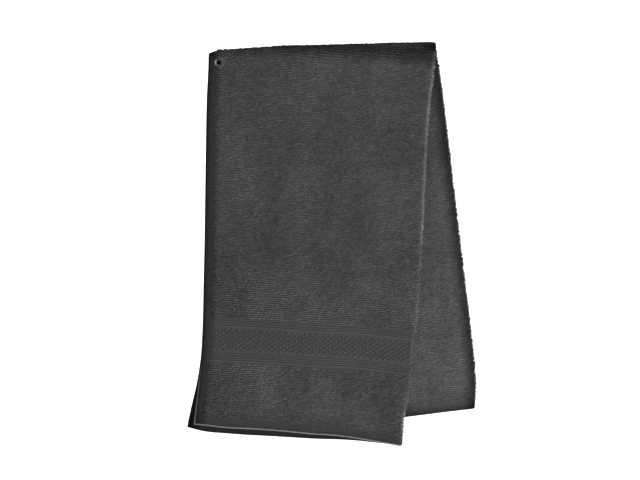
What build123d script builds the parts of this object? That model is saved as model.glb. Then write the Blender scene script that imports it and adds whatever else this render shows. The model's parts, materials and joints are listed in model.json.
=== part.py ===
from build123d import *
import math
import os

# Golf towel: terry cloth folded in half along its length and hung over a thin rail.
# Frame, in millimetres: +X along the rail, -Y towards the front fall, +Z up, and the origin on
# the rail's axis at the middle of the towel. The lengthwise fold is at +X and the open hemmed
# edges are at -X. Each fall is two layers of cloth, and turns outwards about the line where it
# leaves the rail.

# Cloth
ply = 3.0              # one layer of terry, loops pressed flat
ply_gap = 0.3          # air between the two layers
rail_radius = 6.3      # inside of the bend, for a 12 mm rail
border_recess = 0.8    # how far the flat-woven border lies below the loops, each face
rib_height = 0.5       # border rib above the flat weave
rib_width = 1.2
rib_pitch = 2.1
ribs_per_group = 4

# Hems
side_hem = 8.0         # turned hem along each long edge
end_hem = 10.0         # turned hem across each end
thread_width = 0.7     # line of stitching, where it stands out of the cloth
thread_height = 0.3
stitch_inset = 1.5     # from the hem's inner edge

# Border, measured up from the end of the front fall
border_low = 66.0
border_high = 107.0

# Towel over the rail
fold_left = -105.0     # open edges
fold_right = 105.0     # outside of the lengthwise fold
hinge_z = -14.0        # where each fall starts to swing
hinge_clearance = 0.3

# Eyelet
eyelet_x = -95.2
eyelet_z = -0.8
eyelet_bore = 2.3      # radius of the hole
eyelet_wall = 0.5
eyelet_flange = 4.4    # radius of the flange and of the washer
eyelet_rim = 0.9       # their thickness
eyelet_rounding = 0.45
eyelet_lip = 0.3       # how far the rolled end stands behind the washer
pile_crush = 1.2       # how deep each side of the eyelet sinks into the loops
cloth_clearance = 0.3  # between the metal and the cut cloth

# Derived
stack = 2 * ply + ply_gap                  # thickness of the folded cloth
half_stack = stack / 2
inner_near = rail_radius                   # distances out from the rail's axis
inner_far = inner_near + ply
outer_near = inner_far + ply_gap
outer_far = outer_near + ply
spine_radius = rail_radius + half_stack    # middle of the stack, where the falls are hinged
leg_end = hinge_z + half_stack + hinge_clearance
far = 400.0                                # longer than the towel, for cutting tools


class Fall:
    """One side of the hung towel: outline corners (x, z) and the side of the rail it hangs on."""

    def __init__(self, name, side, top_left, spine_top, spine_bottom, left_mid, left_bottom):
        self.name = name
        self.side = side                   # -1 is the front, +1 the back
        self.top_left = top_left
        self.spine_top = spine_top         # axis of the rounded lengthwise fold
        self.spine_bottom = spine_bottom
        self.left_mid = left_mid           # one point on the bowed open edge, for each layer
        self.left_bottom = left_bottom     # lowest open corner, for each layer


top_of_falls = hinge_z + half_stack        # the outlines start here and are rounded afterwards

front = Fall(
    "front", -1,
    top_left=(-106.0, top_of_falls),
    spine_top=(99.5, top_of_falls),
    spine_bottom=(63.2, -362.0),
    left_mid={"outer": (-113.5, -165.0), "inner": (-113.9, -165.0)},
    left_bottom={"outer": (-129.5, -337.0), "inner": (-134.5, -339.5)},
)
back = Fall(
    "back", 1,
    top_left=(-104.0, top_of_falls),
    spine_top=(105.0, top_of_falls),
    spine_bottom=(134.2, -332.5),
    left_mid={"outer": (-86.5, -180.0), "inner": (-86.5, -180.0)},
    left_bottom={"outer": (-66.0, -349.0), "inner": (-66.0, -349.0)},
)


def plate(face, near, far_side):
    """A flat solid with this outline in the XZ plane, from y = near to y = far_side."""
    low, high = sorted((near, far_side))
    return Pos(0, high, 0) * extrude(Plane.XZ * face, amount=high - low)


def layer_span(fall, layer):
    """The two y values between which one layer of a fall lies."""
    if layer == "outer":
        return fall.side * outer_near, fall.side * outer_far
    return fall.side * inner_near, fall.side * inner_far


def outline(fall, layer):
    """Outline of one layer, from its open edge to the axis of the lengthwise fold."""
    open_edge = ThreePointArc(fall.top_left, fall.left_mid[layer], fall.left_bottom[layer])
    end_edge = Line(fall.left_bottom[layer], fall.spine_bottom)
    fold_edge = Line(fall.spine_bottom, fall.spine_top)
    top_edge = Line(fall.spine_top, fall.top_left)
    return make_face(open_edge + end_edge + fold_edge + top_edge)


def beyond_hem(fall, layer, inset):
    """Everything further in than a line that follows the open edge at this inset."""
    open_edge = ThreePointArc(fall.top_left, fall.left_mid[layer], fall.left_bottom[layer])
    edge = Pos(inset, 0) * open_edge
    above = edge @ 0 - (edge % 0) * stack
    below = edge @ 1 + (edge % 1) * stack
    corners = [below, (below.X, -far), (far, -far), (far, far), (above.X, far), above]
    rest = Polyline(edge @ 1, *corners, edge @ 0)
    return plate(make_face(edge + rest), -far, far)


def across(fall, layer, low, high):
    """A strip right across a fall, between two distances up from its end edge."""
    start = Vector(*fall.left_bottom[layer])
    run = (Vector(*fall.spine_bottom) - start).normalized()
    rise = Vector(-run.Y, run.X)
    corners = [
        start - run * far + rise * low,
        start + run * far + rise * low,
        start + run * far + rise * high,
        start - run * far + rise * high,
    ]
    return plate(make_face(Polyline(*corners, close=True)), -far, far)


def hinge_rounding(fall):
    """What a fall may fill: everything below its hinge line, rounded over about that line."""
    below = Pos(0, 0, hinge_z - far / 2) * Box(2 * far, 2 * far, far)
    over = Pos(0, fall.side * spine_radius, hinge_z) * Rot(0, 90, 0) * Cylinder(half_stack, 2 * far)
    return below + over


def fall_layer(fall, layer, rounding):
    """One layer of a fall, cut into the zones that are woven or sewn differently."""
    sheet = plate(outline(fall, layer), *layer_span(fall, layer)) & rounding
    inside = sheet & beyond_hem(fall, layer, side_hem)
    name = f"{fall.name}_{layer}"
    pieces = {
        f"{name}_side_hem": sheet - beyond_hem(fall, layer, side_hem),
        f"{name}_end_hem": inside & across(fall, layer, 0, end_hem),
    }
    if fall is front:
        pieces[f"{name}_tail"] = inside & across(fall, layer, end_hem, border_low)
        pieces[f"{name}_border"] = border_band(fall, layer, inside)
        pieces[f"{name}_border_ribs"] = border_ribs(fall, layer, inside)
        pieces[f"{name}_ply"] = inside & across(fall, layer, border_high, far)
    else:
        pieces[f"{name}_ply"] = inside & across(fall, layer, end_hem, far)
    pieces[f"{name}_stitching"] = stitching(fall, layer)
    return pieces


def thinned(fall, layer, solid, recess):
    """The same piece with its outer face moved in by the recess."""
    near, outer_face = layer_span(fall, layer)
    if layer == "inner":
        near, outer_face = outer_face, near
    inward = math.copysign(1, near - outer_face)
    keep = plate(Rectangle(2 * far, 4 * far), near, outer_face + inward * recess)
    return solid & keep


def border_band(fall, layer, inside):
    """The flat-woven border, which has no loops and so lies lower than the pile."""
    return thinned(fall, layer, inside & across(fall, layer, border_low, border_high), border_recess)


def border_ribs(fall, layer, inside):
    """Raised cords along both edges of the border."""
    skin = inside - thinned(fall, layer, inside, border_recess)
    skin = thinned(fall, layer, skin, border_recess - rib_height)
    ribs = []
    for number in range(ribs_per_group):
        offset = rib_pitch * (number + 0.5)
        for middle in (border_low + offset, border_high - offset):
            bar = across(fall, layer, middle - rib_width / 2, middle + rib_width / 2)
            ribs.append(skin & bar)
    return group(ribs)


def stitching(fall, layer):
    """The two lines of stitching that hold a layer's hems, standing just out of its face."""
    near, outer_face = layer_span(fall, layer)
    if layer == "inner":
        near, outer_face = outer_face, near
    outward = math.copysign(1, outer_face - near)
    face_skin = plate(Rectangle(2 * far, 4 * far), outer_face, outer_face + outward * thread_height)
    tall = plate(outline(fall, layer), -far, far)
    side_line = side_hem - stitch_inset
    end_line = end_hem - stitch_inset
    beyond_thread = beyond_hem(fall, layer, side_line)
    side_strip = beyond_hem(fall, layer, side_line - thread_width) - beyond_thread
    below_hinge = Pos(0, 0, hinge_z - half_stack - far) * Box(2 * far, 2 * far, 2 * far)
    side_thread = tall & face_skin & side_strip & below_hinge
    side_thread = side_thread & across(fall, layer, end_line + thread_width, far)
    end_thread = tall & face_skin & across(fall, layer, end_line - thread_width, end_line)
    end_thread = end_thread & beyond_thread
    return group([side_thread, end_thread])


def group(shapes):
    """Several separate solids in one node."""
    solids = []
    for shape in shapes:
        solids.extend(shape.solids())
    return Compound(children=solids)


def fall_side_fold(fall, rounding):
    """The rounded edge along which the two layers of a fall are one cloth."""
    bottom = Vector(fall.spine_bottom[0], fall.side * spine_radius, fall.spine_bottom[1])
    top = Vector(fall.spine_top[0], fall.side * spine_radius, fall.spine_top[1])
    along = (top - bottom).normalized()
    section = Plane(origin=bottom, x_dir=Vector(along.Z, 0, -along.X), z_dir=along)
    half_disc = Circle(half_stack) & (Pos(half_stack, 0) * Rectangle(stack, 2 * stack))
    length = (top - bottom).length + stack
    return extrude(section * half_disc, amount=length) & rounding


def bend_section(near, far_side):
    """Section of one layer over the rail, in the YZ plane: a half ring with two short legs."""
    ring = Circle(far_side) - Circle(near)
    arch = ring & (Pos(0, far) * Rectangle(2 * far, 2 * far))
    leg_height = -leg_end
    leg = Rectangle(far_side - near, leg_height)
    middle = (near + far_side) / 2
    legs = (Pos(-middle, leg_end / 2) * leg) + (Pos(middle, leg_end / 2) * leg)
    return arch + legs


def bend_layer(near, far_side, start, end):
    """One layer over the rail, between two places along it."""
    return Pos(start, 0, 0) * extrude(Plane.YZ * bend_section(near, far_side), amount=end - start)


def bend_side_fold():
    """The rounded lengthwise fold where it passes over the rail."""
    spine_x = fold_right - half_stack
    half_disc = Circle(half_stack) & (Pos(half_stack, 0) * Rectangle(stack, 2 * stack))
    over_rail = Plane.XZ * (Pos(spine_x, spine_radius) * half_disc)
    left_turn = revolve(over_rail, axis=Axis.X, revolution_arc=90)
    right_turn = revolve(over_rail, axis=Axis.X, revolution_arc=-90)
    leg = extrude(Plane.XY * half_disc, amount=-leg_end)
    front_leg = Pos(spine_x, -spine_radius, leg_end) * leg
    back_leg = Pos(spine_x, spine_radius, leg_end) * leg
    return left_turn + right_turn + front_leg + back_leg


def eyelet_disc(radius, near, far_side):
    """A round disc on the eyelet's axis, between two distances in front of the rail's axis."""
    length = far_side - near
    return Pos(eyelet_x, -(near + far_side) / 2, eyelet_z) * Rot(90, 0, 0) * Cylinder(radius, length)


def eyelet_opening():
    """What the eyelet takes out of the cloth: its shank's hole and a seat on each side."""
    shank_hole = eyelet_disc(eyelet_bore + eyelet_wall + cloth_clearance, 0, 2 * outer_far)
    front_seat = eyelet_disc(eyelet_flange + cloth_clearance, outer_far - pile_crush, 2 * outer_far)
    rear_seat = eyelet_disc(eyelet_flange + cloth_clearance, 0, inner_near + pile_crush)
    return shank_hole + front_seat + rear_seat


def eyelet_parts():
    """The eyelet, a flanged tube from the front, and the washer that its end is rolled over."""
    flange_back = outer_far - pile_crush
    washer_front = inner_near + pile_crush
    washer_back = washer_front - eyelet_rim
    shank_radius = eyelet_bore + eyelet_wall
    flange = eyelet_disc(eyelet_flange, flange_back, flange_back + eyelet_rim)
    flange = fillet(flange.edges().filter_by(GeomType.CIRCLE).sort_by(Axis.Y)[0], eyelet_rounding)
    shank = eyelet_disc(shank_radius, washer_back, flange_back)
    rolled_lip = eyelet_disc(shank_radius + eyelet_wall, washer_back - eyelet_lip, washer_back)
    bore = eyelet_disc(eyelet_bore, 0, 2 * outer_far)
    washer = eyelet_disc(eyelet_flange, washer_back, washer_front) - eyelet_disc(
        shank_radius, 0, outer_far
    )
    return {"eyelet": flange + shank + rolled_lip - bore, "eyelet_washer": washer}


def bend_parts():
    """Everything that lies on the rail."""
    opening = eyelet_opening()
    hem_end = fold_left + side_hem
    spine_x = fold_right - half_stack
    spans = {"outer": (outer_near, outer_far), "inner": (inner_near, inner_far)}
    pieces = {}
    for layer, (near, far_side) in spans.items():
        pieces[f"bend_{layer}_side_hem"] = bend_layer(near, far_side, fold_left, hem_end) - opening
        pieces[f"bend_{layer}_ply"] = bend_layer(near, far_side, hem_end, spine_x) - opening
    pieces["bend_side_fold"] = bend_side_fold()
    pieces.update(eyelet_parts())
    return pieces


def main():
    os.makedirs("parts", exist_ok=True)
    pieces = bend_parts()
    for fall in (front, back):
        rounding = hinge_rounding(fall)
        for layer in ("outer", "inner"):
            pieces.update(fall_layer(fall, layer, rounding))
        pieces[f"{fall.name}_side_fold"] = fall_side_fold(fall, rounding)
    for name, shape in pieces.items():
        export_step(shape, f"parts/{name}.step")
    print(len(pieces), "nodes")


main()
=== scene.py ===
import json
import math

import bmesh
import bpy
import numpy as np
from mathutils import Matrix, Vector


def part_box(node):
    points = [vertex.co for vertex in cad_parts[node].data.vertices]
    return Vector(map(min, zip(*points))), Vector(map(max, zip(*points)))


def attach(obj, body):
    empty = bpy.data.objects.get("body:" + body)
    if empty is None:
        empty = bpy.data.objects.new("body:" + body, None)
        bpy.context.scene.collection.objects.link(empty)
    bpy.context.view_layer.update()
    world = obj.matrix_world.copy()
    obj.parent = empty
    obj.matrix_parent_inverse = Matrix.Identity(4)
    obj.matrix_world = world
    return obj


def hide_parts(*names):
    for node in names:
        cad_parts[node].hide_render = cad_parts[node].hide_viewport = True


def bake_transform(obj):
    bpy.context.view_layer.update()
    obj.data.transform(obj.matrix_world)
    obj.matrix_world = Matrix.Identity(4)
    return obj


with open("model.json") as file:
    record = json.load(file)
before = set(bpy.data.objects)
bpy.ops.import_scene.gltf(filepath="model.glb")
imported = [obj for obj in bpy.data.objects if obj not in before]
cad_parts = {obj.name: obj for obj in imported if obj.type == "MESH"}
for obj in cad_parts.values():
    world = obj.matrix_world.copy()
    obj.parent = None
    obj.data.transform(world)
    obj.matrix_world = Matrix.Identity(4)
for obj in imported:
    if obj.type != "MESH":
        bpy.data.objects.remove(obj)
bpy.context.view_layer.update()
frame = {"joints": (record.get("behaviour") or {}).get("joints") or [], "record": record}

mm = 0.001  # sizes below are in millimetres, meshes in metres

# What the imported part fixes: the hinge lines, the bend over the rail and the eyelet's place.
hinges = {joint["child"]: joint for joint in frame["joints"]}
stackRadius = abs(hinges["front_fall"]["pos_m"][1]) / mm  # middle of the two layers, over the rail
eyeletMount = next(m for m in frame["record"]["mounts"] if m["name"] == "eyelet_hole")
eyeletX, eyeletZ = eyeletMount["pos_m"][0] / mm, eyeletMount["pos_m"][2] / mm

cloth = {
    "flatWidth": 406.4,
    "flatLength": 711.2,
    "across": 203.0,       # one layer, open edge to lengthwise fold
    "layerOffset": 1.65,   # middle of each layer from the middle of the two
    "ground": 1.2,         # woven ground between the loops
    "columnStep": 3.2,
    "rowStep": 3.2,
    "fineStep": 0.7,       # close to the eyelet, so that its hole is round enough
    "fineReach": 6.0,
    "sideHem": 8.0,
    "endHem": 10.0,
    "borderLow": 66.0,     # above the end
    "borderHigh": 107.0,
    "foldInset": 3.5,      # from the outside of the lengthwise fold to its axis
    "slump": 1.4,          # how far the bend sinks towards its open end
    "slumpFrom": (-30, -96),  # x, from no sinking to all of it
    "cornerSlump": 2.4,    # and how much further at the hem itself
    "cornerFrom": (-97, -107),
    "clamped": 0.3,        # how much closer the layers lie at the eyelet
    "clampReach": 9.0,
    "flattened": 0.4,      # and where the bend sinks
    "flatReach": 14.0,
}

eyelet = {
    "bore": 2.3,           # radii
    "shank": 2.8,
    "flange": 4.4,
    "rim": 0.9,            # thickness of the flange
    "dome": 0.85,          # how far it swells
    "lip": 0.5,            # how far the rolled end stands behind the washer
    "segments": 56,
}

quarterTurn = math.pi / 2 * stackRadius
foldArc = math.pi * cloth["layerOffset"]
acrossAll = 2 * cloth["across"] + foldArc

# Each half of the cloth, from a row of the weave over the rail down to its end.
# Edges are (distance down from the crest, x), and sags are (share of the width, extra drop).
# rowDrop is how much lower the rows above the end hang at the open edge, where the cloth is drawn down.
frontEdge = [(-15, -104.5), (15, -105.1), (50, -107.7), (105, -110.5), (205, -115.5), (277, -120)]
backEdge = [(-15, -104.5), (15, -104), (195, -86.5), (364, -66)]
backSag = [(0, 0), (0.4, 1.4), (0.7, 1.4), (0.88, 0.3), (1, 0)]
halves = {
    "front": {
        "side": -1,
        "fall": "front_fall",
        "seam": (-10.0, 11.0),
        "openEdge": {
            "outer": frontEdge + [(311, -124), (352, -129.5)],
            "inner": frontEdge + [(311, -125.6), (340, -132.4), (355, -135.8)],
        },
        "foldEdge": [(-15, 105), (4, 105), (19, 103.9), (67, 97.4), (117, 93.6), (168, 90), (245, 84.2),
                     (292, 78.2), (320, 75.6), (349, 69), (378, 66.2)],
        "sag": {
            "outer": [(0, 0), (0.06, -0.3), (0.14, -0.3), (0.28, -1.6), (0.42, -2.2), (0.56, -2.2),
                      (0.71, -3.2), (0.88, -1.6), (1, 0)],
            "inner": [(0, 0), (0.06, 2.0), (0.2, 2.2), (0.39, 1.6), (0.58, 1.0), (0.77, -0.9), (1, 0)],
        },
        "rowDrop": 5.6,
        "wave": {"height": 2.1, "lean": 0.4, "phase": 0.6},
        # painted light and shade on the front half: painted shade towards the end hem and a painted
        # highlight along the lengthwise fold
        "tones": {"endEdge": 0.4, "endInner": 0.85, "fold": 2.3, "foldReach": 2.8, "overallTone": 1.0,
                  "topShade": 0.0},
    },
    "back": {
        "side": 1,
        "fall": "back_fall",
        "seam": (10.0, -11.0),
        "openEdge": {"outer": backEdge, "inner": backEdge},
        "foldEdge": [(-15, 105), (4, 105.6), (19, 108.4), (56, 113), (112, 118.6), (188, 126), (264, 133.8),
                     (302, 137.1), (330, 138.2), (348, 136.6)],
        "sag": {"outer": backSag, "inner": backSag},
        "rowDrop": 0.0,
        "wave": {"height": 1.9, "lean": -0.2, "phase": 2.3},
        # painted light and shade on the back half: painted shade towards the end hem, along the lengthwise
        # fold and under the bend near the top; the half's colour as a whole is made lighter than the
        # front's
        "tones": {"endEdge": 0.12, "endInner": 0.84, "fold": 0.25, "foldReach": 14.0, "overallTone": 1.5,
                  "topShade": 0.2},
    },
}


def curveThrough(knots, where):
    # smooth curve through a few points, by the slopes between its neighbours
    q, v = np.array(knots, float).T
    slopes = np.gradient(v, q)
    where = np.asarray(where, float)
    i = np.clip(np.searchsorted(q, where) - 1, 0, len(q) - 2)
    span = q[i + 1] - q[i]
    u = (where - q[i]) / span
    rise = (2 * u**3 - 3 * u**2 + 1) * v[i] + (3 * u**2 - 2 * u**3) * v[i + 1]
    return rise + span * ((u**3 - 2 * u**2 + u) * slopes[i] + (u**3 - u**2) * slopes[i + 1])


def smoothStep(start, end, value):
    u = np.clip((value - start) / (end - start), 0, 1)
    return u * u * (3 - 2 * u)


def layerPlace(half, layer, share, down):
    # x and drop of a point of one layer: share runs from the open edge to the fold, down from seam to end
    topOpen, topFold = half["seam"]
    endOpen, endFold = half["openEdge"][layer][-1][0], half["foldEdge"][-1][0]
    dropOpen = topOpen + down * (endOpen - topOpen)
    dropFold = topFold + down * (endFold - topFold)
    xOpen = curveThrough(half["openEdge"][layer], dropOpen)
    xFold = curveThrough(half["foldEdge"], dropFold) - cloth["foldInset"]
    sag = curveThrough(half["sag"][layer], share) * down**3
    drawn = half["rowDrop"] * (1 - share) ** 1.5 * smoothStep(0.2, 0.8, down) * smoothStep(1.0, 0.8, down)
    return (1 - share) * xOpen + share * xFold, (1 - share) * dropOpen + share * dropFold + sag + drawn


def clothPoint(half, across, down, lift=0.0):
    # across runs from the outer layer's open edge round the fold to the inner layer's, in mm.
    # lift is the height above the middle of the cloth, out of the folded towel.
    across, down, lift = np.broadcast_arrays(*[np.asarray(k, float) for k in (across, down, lift)])
    width, offset = cloth["across"], cloth["layerOffset"]
    turn = np.clip((across - width) / foldArc, 0, 1) * math.pi
    outer = layerPlace(half, "outer", np.clip(across / width, 0, 1), down)
    innerShare = np.clip((acrossAll - across) / width, 0, 1)
    inner = layerPlace(half, "inner", innerShare, down)
    onOuter = across <= width + foldArc / 2
    x = np.where(onOuter, outer[0], inner[0])
    drop = np.where(onOuter, outer[1], inner[1])
    turn = np.where(across < width, 0, np.where(across > width + foldArc, math.pi, turn))
    offset = offset * squeeze(half, x, drop)
    x = x + (offset + lift) * np.sin(turn)
    out = (offset + lift) * np.cos(turn)
    angle = np.clip(drop / stackRadius, -math.pi / 2, math.pi / 2)
    below = np.maximum(drop - quarterTurn, 0)
    sinking = cloth["slump"] * smoothStep(*cloth["slumpFrom"], x)
    sinking = sinking + cloth["cornerSlump"] * smoothStep(*cloth["cornerFrom"], x)
    sunk = sinking * np.cos(angle) ** 2
    radius = stackRadius - sunk + out + wave(half, x, below)
    return np.stack([x, half["side"] * radius * np.sin(angle), radius * np.cos(angle) - below], -1)


def squeeze(half, x, drop):
    # the layers lie closer together where the eyelet clamps them and where the bend flattens beside it
    if half["side"] > 0:
        drop = -drop
    fromEyelet = (x - eyeletX) ** 2 + (drop - (quarterTurn - eyeletZ)) ** 2
    clamped = cloth["clamped"] * np.exp(-fromEyelet / (2 * cloth["clampReach"] ** 2))
    nearBend = np.exp(-(drop / cloth["flatReach"]) ** 2)
    flattened = cloth["flattened"] * smoothStep(*cloth["slumpFrom"], x) * nearBend
    return 1 - clamped - flattened


def wave(half, x, below):
    # the falls aren't quite flat: shallow waves that grow downwards, and a slight lean to each other
    shape = half["wave"]
    grow = smoothStep(10, 260, below)
    broad = np.sin(2 * math.pi * (x / 230 + below / 620) + shape["phase"])
    narrow = 0.4 * np.sin(2 * math.pi * (x / 104 - below / 330) + 2 * shape["phase"])
    return grow * (shape["height"] * (broad + narrow) + shape["lean"])


def outwardAt(half, across, down):
    step = clothPoint(half, across, down, 1.0) - clothPoint(half, across, down, 0.0)
    return step / np.linalg.norm(step, axis=-1, keepdims=True)


def rowDirection(half, across, down):
    step = clothPoint(half, across + 0.4, down) - clothPoint(half, across - 0.4, down)
    return step / np.linalg.norm(step, axis=-1, keepdims=True)


def fallLength(half):
    open_, fold = half["seam"]
    ends = half["openEdge"]["outer"][-1][0] - open_, half["foldEdge"][-1][0] - fold
    return sum(ends) / 2


openEdgeAtTop = curveThrough(halves["front"]["openEdge"]["outer"], quarterTurn - eyeletZ)
eyeletAcross = eyeletX - openEdgeAtTop  # the eyelet's place on the uncut cloth, from its open edge


def eyeletDown(half):
    # and from the seam
    return quarterTurn - eyeletZ - half["seam"][0]


# painted light and shade on the cloth, as shares of its colour, and the mm over which they spread
tones = {
    "hemEdge": 0.13,       # painted shade: how much of the colour shows at the very edge of a side hem, 1 being full
    "hemInner": 0.6,       # and where the hem meets the pile
    "edgeFace": 2.0,       # how much of that painted shade is lifted on the face that the hem turns to its side
    "highlightSide": 2.2,       # painted highlight line along the lowest part of the outer layer's open edge
    "highlightEnd": 2.9,        # and along its end
    "innerLayerShade": 0.5,     # painted shade on the hems of the front's inner layer, which lies behind the outer one
    "reach": 6.0,          # mm of pile beside a hem over which the painted shade fades out
    "edgeFaceReach": (0.6, 0.1),
    "highlightBand": (0.2, 0.9),  # mm from the edge
    "highlightFrom": (0.78, 0.97),  # share of the way down, from none of that painted highlight to all of it
    # painted shade over the rail, where the bend turns up away from the light, and the mm from the crest
    # over which it fades
    "crest": 0.42,
    "crestReach": (3, 19.0),
    "lessHighlight": 0.75,      # the painted highlight along the front's fold is weaker in its lower middle, by this share
    "lessHighlightFrom": (0.42, 0.58),
    "lessHighlightTo": (0.95, 0.85),
    "topReach": (220.0, 20),  # mm down, from all of the back's painted shade under the bend to the least of it
}


def edgeShade(half, across, down):
    # painted light and shade at a place on the cloth, as a share of its colour: painted shade towards
    # the hems, over the rail, near the back's top and along the back's lengthwise fold, a painted highlight
    # along the front's, and each half's overall tone
    across, down = np.broadcast_arrays(np.asarray(across, float), np.asarray(down, float))
    length, own = fallLength(half), half["tones"]
    fromOpen = np.minimum(across, acrossAll - across)
    fromEnd = (1 - down) * length
    fromCrest = np.abs(down * length + sum(half["seam"]) / 2)
    sideTone = toneRamp(fromOpen, cloth["sideHem"], tones["hemEdge"], tones["hemInner"])
    endTone = toneRamp(fromEnd, cloth["endHem"], own["endEdge"], own["endInner"])
    crestTone = tones["crest"] + (1 - tones["crest"]) * smoothStep(*tones["crestReach"], fromCrest)
    fromFold = np.abs(across - acrossAll / 2)
    atFold = 1 - smoothStep(0, own["foldReach"], fromFold)
    if half["side"] < 0:
        lowerMiddle = smoothStep(*tones["lessHighlightFrom"], down) * smoothStep(*tones["lessHighlightTo"], down)
        atFold = atFold * (1 - tones["lessHighlight"] * lowerMiddle)
    foldTone = 1 + (own["fold"] - 1) * atFold
    topTone = 1 - own["topShade"] * smoothStep(*tones["topReach"], fromCrest)
    return own["overallTone"] * topTone * sideTone * endTone * crestTone * foldTone


def toneRamp(fromEdge, hemWidth, edge, inner):
    # from the hem's edge to its inner side, then the rest of the way over a few mm of pile
    onHem = edge + (inner - edge) * np.clip(fromEdge / hemWidth, 0, 1)
    return onHem + (1 - inner) * smoothStep(0, tones["reach"], fromEdge - hemWidth)


def setShade(piece, values):
    layer = piece.data.attributes.new("edgeShade", "FLOAT", "POINT")
    layer.data.foreach_set("value", np.asarray(values, np.float32).ravel())


def nearEyelet(points, reach):
    return np.hypot(points[..., 0] - eyeletX, points[..., 2] - eyeletZ) < reach


def meshObject(name, points, faces=(), edges=(), smooth=True):
    mesh = bpy.data.meshes.new(name)
    mesh.from_pydata((np.asarray(points, float).reshape(-1, 3) * mm).tolist(), list(edges), list(faces))
    mesh.update()
    if smooth and len(mesh.polygons):
        mesh.polygons.foreach_set("use_smooth", [True] * len(mesh.polygons))
    piece = bpy.data.objects.new(name, mesh)
    bpy.context.scene.collection.objects.link(piece)
    return piece


def setVectors(piece, name, vectors):
    layer = piece.data.attributes.new(name, "FLOAT_VECTOR", "POINT")
    layer.data.foreach_set("vector", np.asarray(vectors, np.float32).reshape(-1, 3).ravel())


def setUv(piece, flat):
    # flat holds, for each vertex, its place on the uncut cloth in mm
    uv = piece.data.uv_layers.new(name="flatCloth")
    corner = np.zeros(len(piece.data.loops), np.int32)
    piece.data.loops.foreach_get("vertex_index", corner)
    places = np.asarray(flat, float).reshape(-1, 2) * mm
    uv.data.foreach_set("uv", places[corner].astype(np.float32).ravel())


def clothPoints(name, half, across, down, lift, edges=()):
    # points on the cloth that a tree can grow from
    piece = meshObject(name, clothPoint(half, across, down, lift), edges=edges)
    setVectors(piece, "outward", outwardAt(half, across, down))
    setVectors(piece, "alongRow", rowDirection(half, across, down))
    setShade(piece, edgeShade(half, across, down))
    return piece


def gridFaces(rows, columns, closeColumns=False):
    faces = []
    wide = columns if closeColumns else columns - 1
    for r in range(rows - 1):
        for c in range(wide):
            n = (c + 1) % columns
            faces.append((r * columns + c, r * columns + n, (r + 1) * columns + n, (r + 1) * columns + c))
    return faces


def plainMesh(piece):
    # the evaluated shape as a mesh of its own, with nothing live left on the piece
    graph = bpy.context.evaluated_depsgraph_get()
    graph.update()
    made = bpy.data.meshes.new_from_object(piece.evaluated_get(graph), depsgraph=graph)
    made.name = piece.name
    old = piece.data
    piece.modifiers.clear()
    piece.data = made
    bpy.data.meshes.remove(old)
    return piece


def turnOutwards(piece):
    shape = bmesh.new()
    shape.from_mesh(piece.data)
    bmesh.ops.recalc_face_normals(shape, faces=shape.faces)
    shape.to_mesh(piece.data)
    shape.free()
    return piece


def socketAt(sockets, key):
    if isinstance(key, int):
        return sockets[key]
    return next(s for s in sockets if s.name == key and s.enabled)


def nodeAdder(tree):
    # for adding nodes: each input takes a fixed value or what another node gives, by name or in order
    def add(kind, inputs=(), **settings):
        node = tree.nodes.new(kind)
        for key, value in settings.items():
            setattr(node, key, value)
        for key, value in inputs.items() if isinstance(inputs, dict) else enumerate(inputs):
            source = next(s for s in value.outputs if s.enabled) if hasattr(value, "outputs") else value
            if isinstance(source, bpy.types.NodeSocket):
                tree.links.new(source, socketAt(node.inputs, key))
            else:
                socketAt(node.inputs, key).default_value = source
        return node
    return add


def hexColour(code):
    channels = [int(code[k:k + 2], 16) / 255 for k in (1, 3, 5)]
    return [c / 12.92 if c <= 0.04045 else ((c + 0.055) / 1.055) ** 2.4 for c in channels] + [1.0]


# ---- materials ----
finishes = {
    "pileDark": "#414141",
    "pileLight": "#606060",
    "groundDark": "#363636",
    "groundLight": "#484848",
    "flatDark": "#303030",
    "flatLight": "#464646",
    "threadDark": "#333333",
    "threadLight": "#484848",
    "floatDark": "#3a3a3a",
    "floatLight": "#505050",
    "nickel": "#98958f",
    "nickelDark": "#5c5a56",
    "patchSize": 42.0,     # mm, where the pile lies one way
    "patchDraw": 0.55,     # patches are longer down the cloth than across it
    "speckSize": 5.0,
    "tintShare": 0.5,      # how much each loop, each speck and each patch differs from the next
    "speckShare": 0.7,
    "patchShare": 1.5,
    "contrast": 0.4,       # of their sum about its middle, from the darkest yarn to the lightest
    "scuffSize": 1.5,
    "twistPitch": 0.8,     # mm, drawn coarser than the 0.5 mm of the real yarn, so that it shows
    "fibreSize": 0.35,     # mm, drawn coarser than the 0.02 mm of a real fibre, so that it shows
    "yarnGrain": 0.8,      # mm, drawn coarser than the 0.1 mm of the real plies, so that it shows
    "weavePitch": 0.9,     # mm, drawn coarser than the real 0.5 mm, so that it shows
}


def startMaterial(name):
    material = bpy.data.materials.new(name)
    material.use_nodes = True
    material.node_tree.nodes.clear()
    add = nodeAdder(material.node_tree)
    return material, add, add("ShaderNodeTexCoord").outputs["Object"]


def colours(darkName, lightName):
    return {"A": hexColour(finishes[darkName]), "B": hexColour(finishes[lightName])}


def endMaterial(add, colour, rough, bump, constants, withPaintedLight=True):
    # painted light and shade: the cloth's colour made lighter or darker from place to place by its
    # edgeShade mark
    if withPaintedLight:
        shade = add("ShaderNodeAttribute", attribute_name="edgeShade").outputs["Fac"]
        colour = add("ShaderNodeVectorMath", {"Vector": colour, "Scale": shade}, operation="SCALE")
    shader = add("ShaderNodeBsdfPrincipled", {
        "Base Color": colour, "Roughness": rough, "Normal": bump, **constants})
    add("ShaderNodeOutputMaterial", {"Surface": shader})


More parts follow.
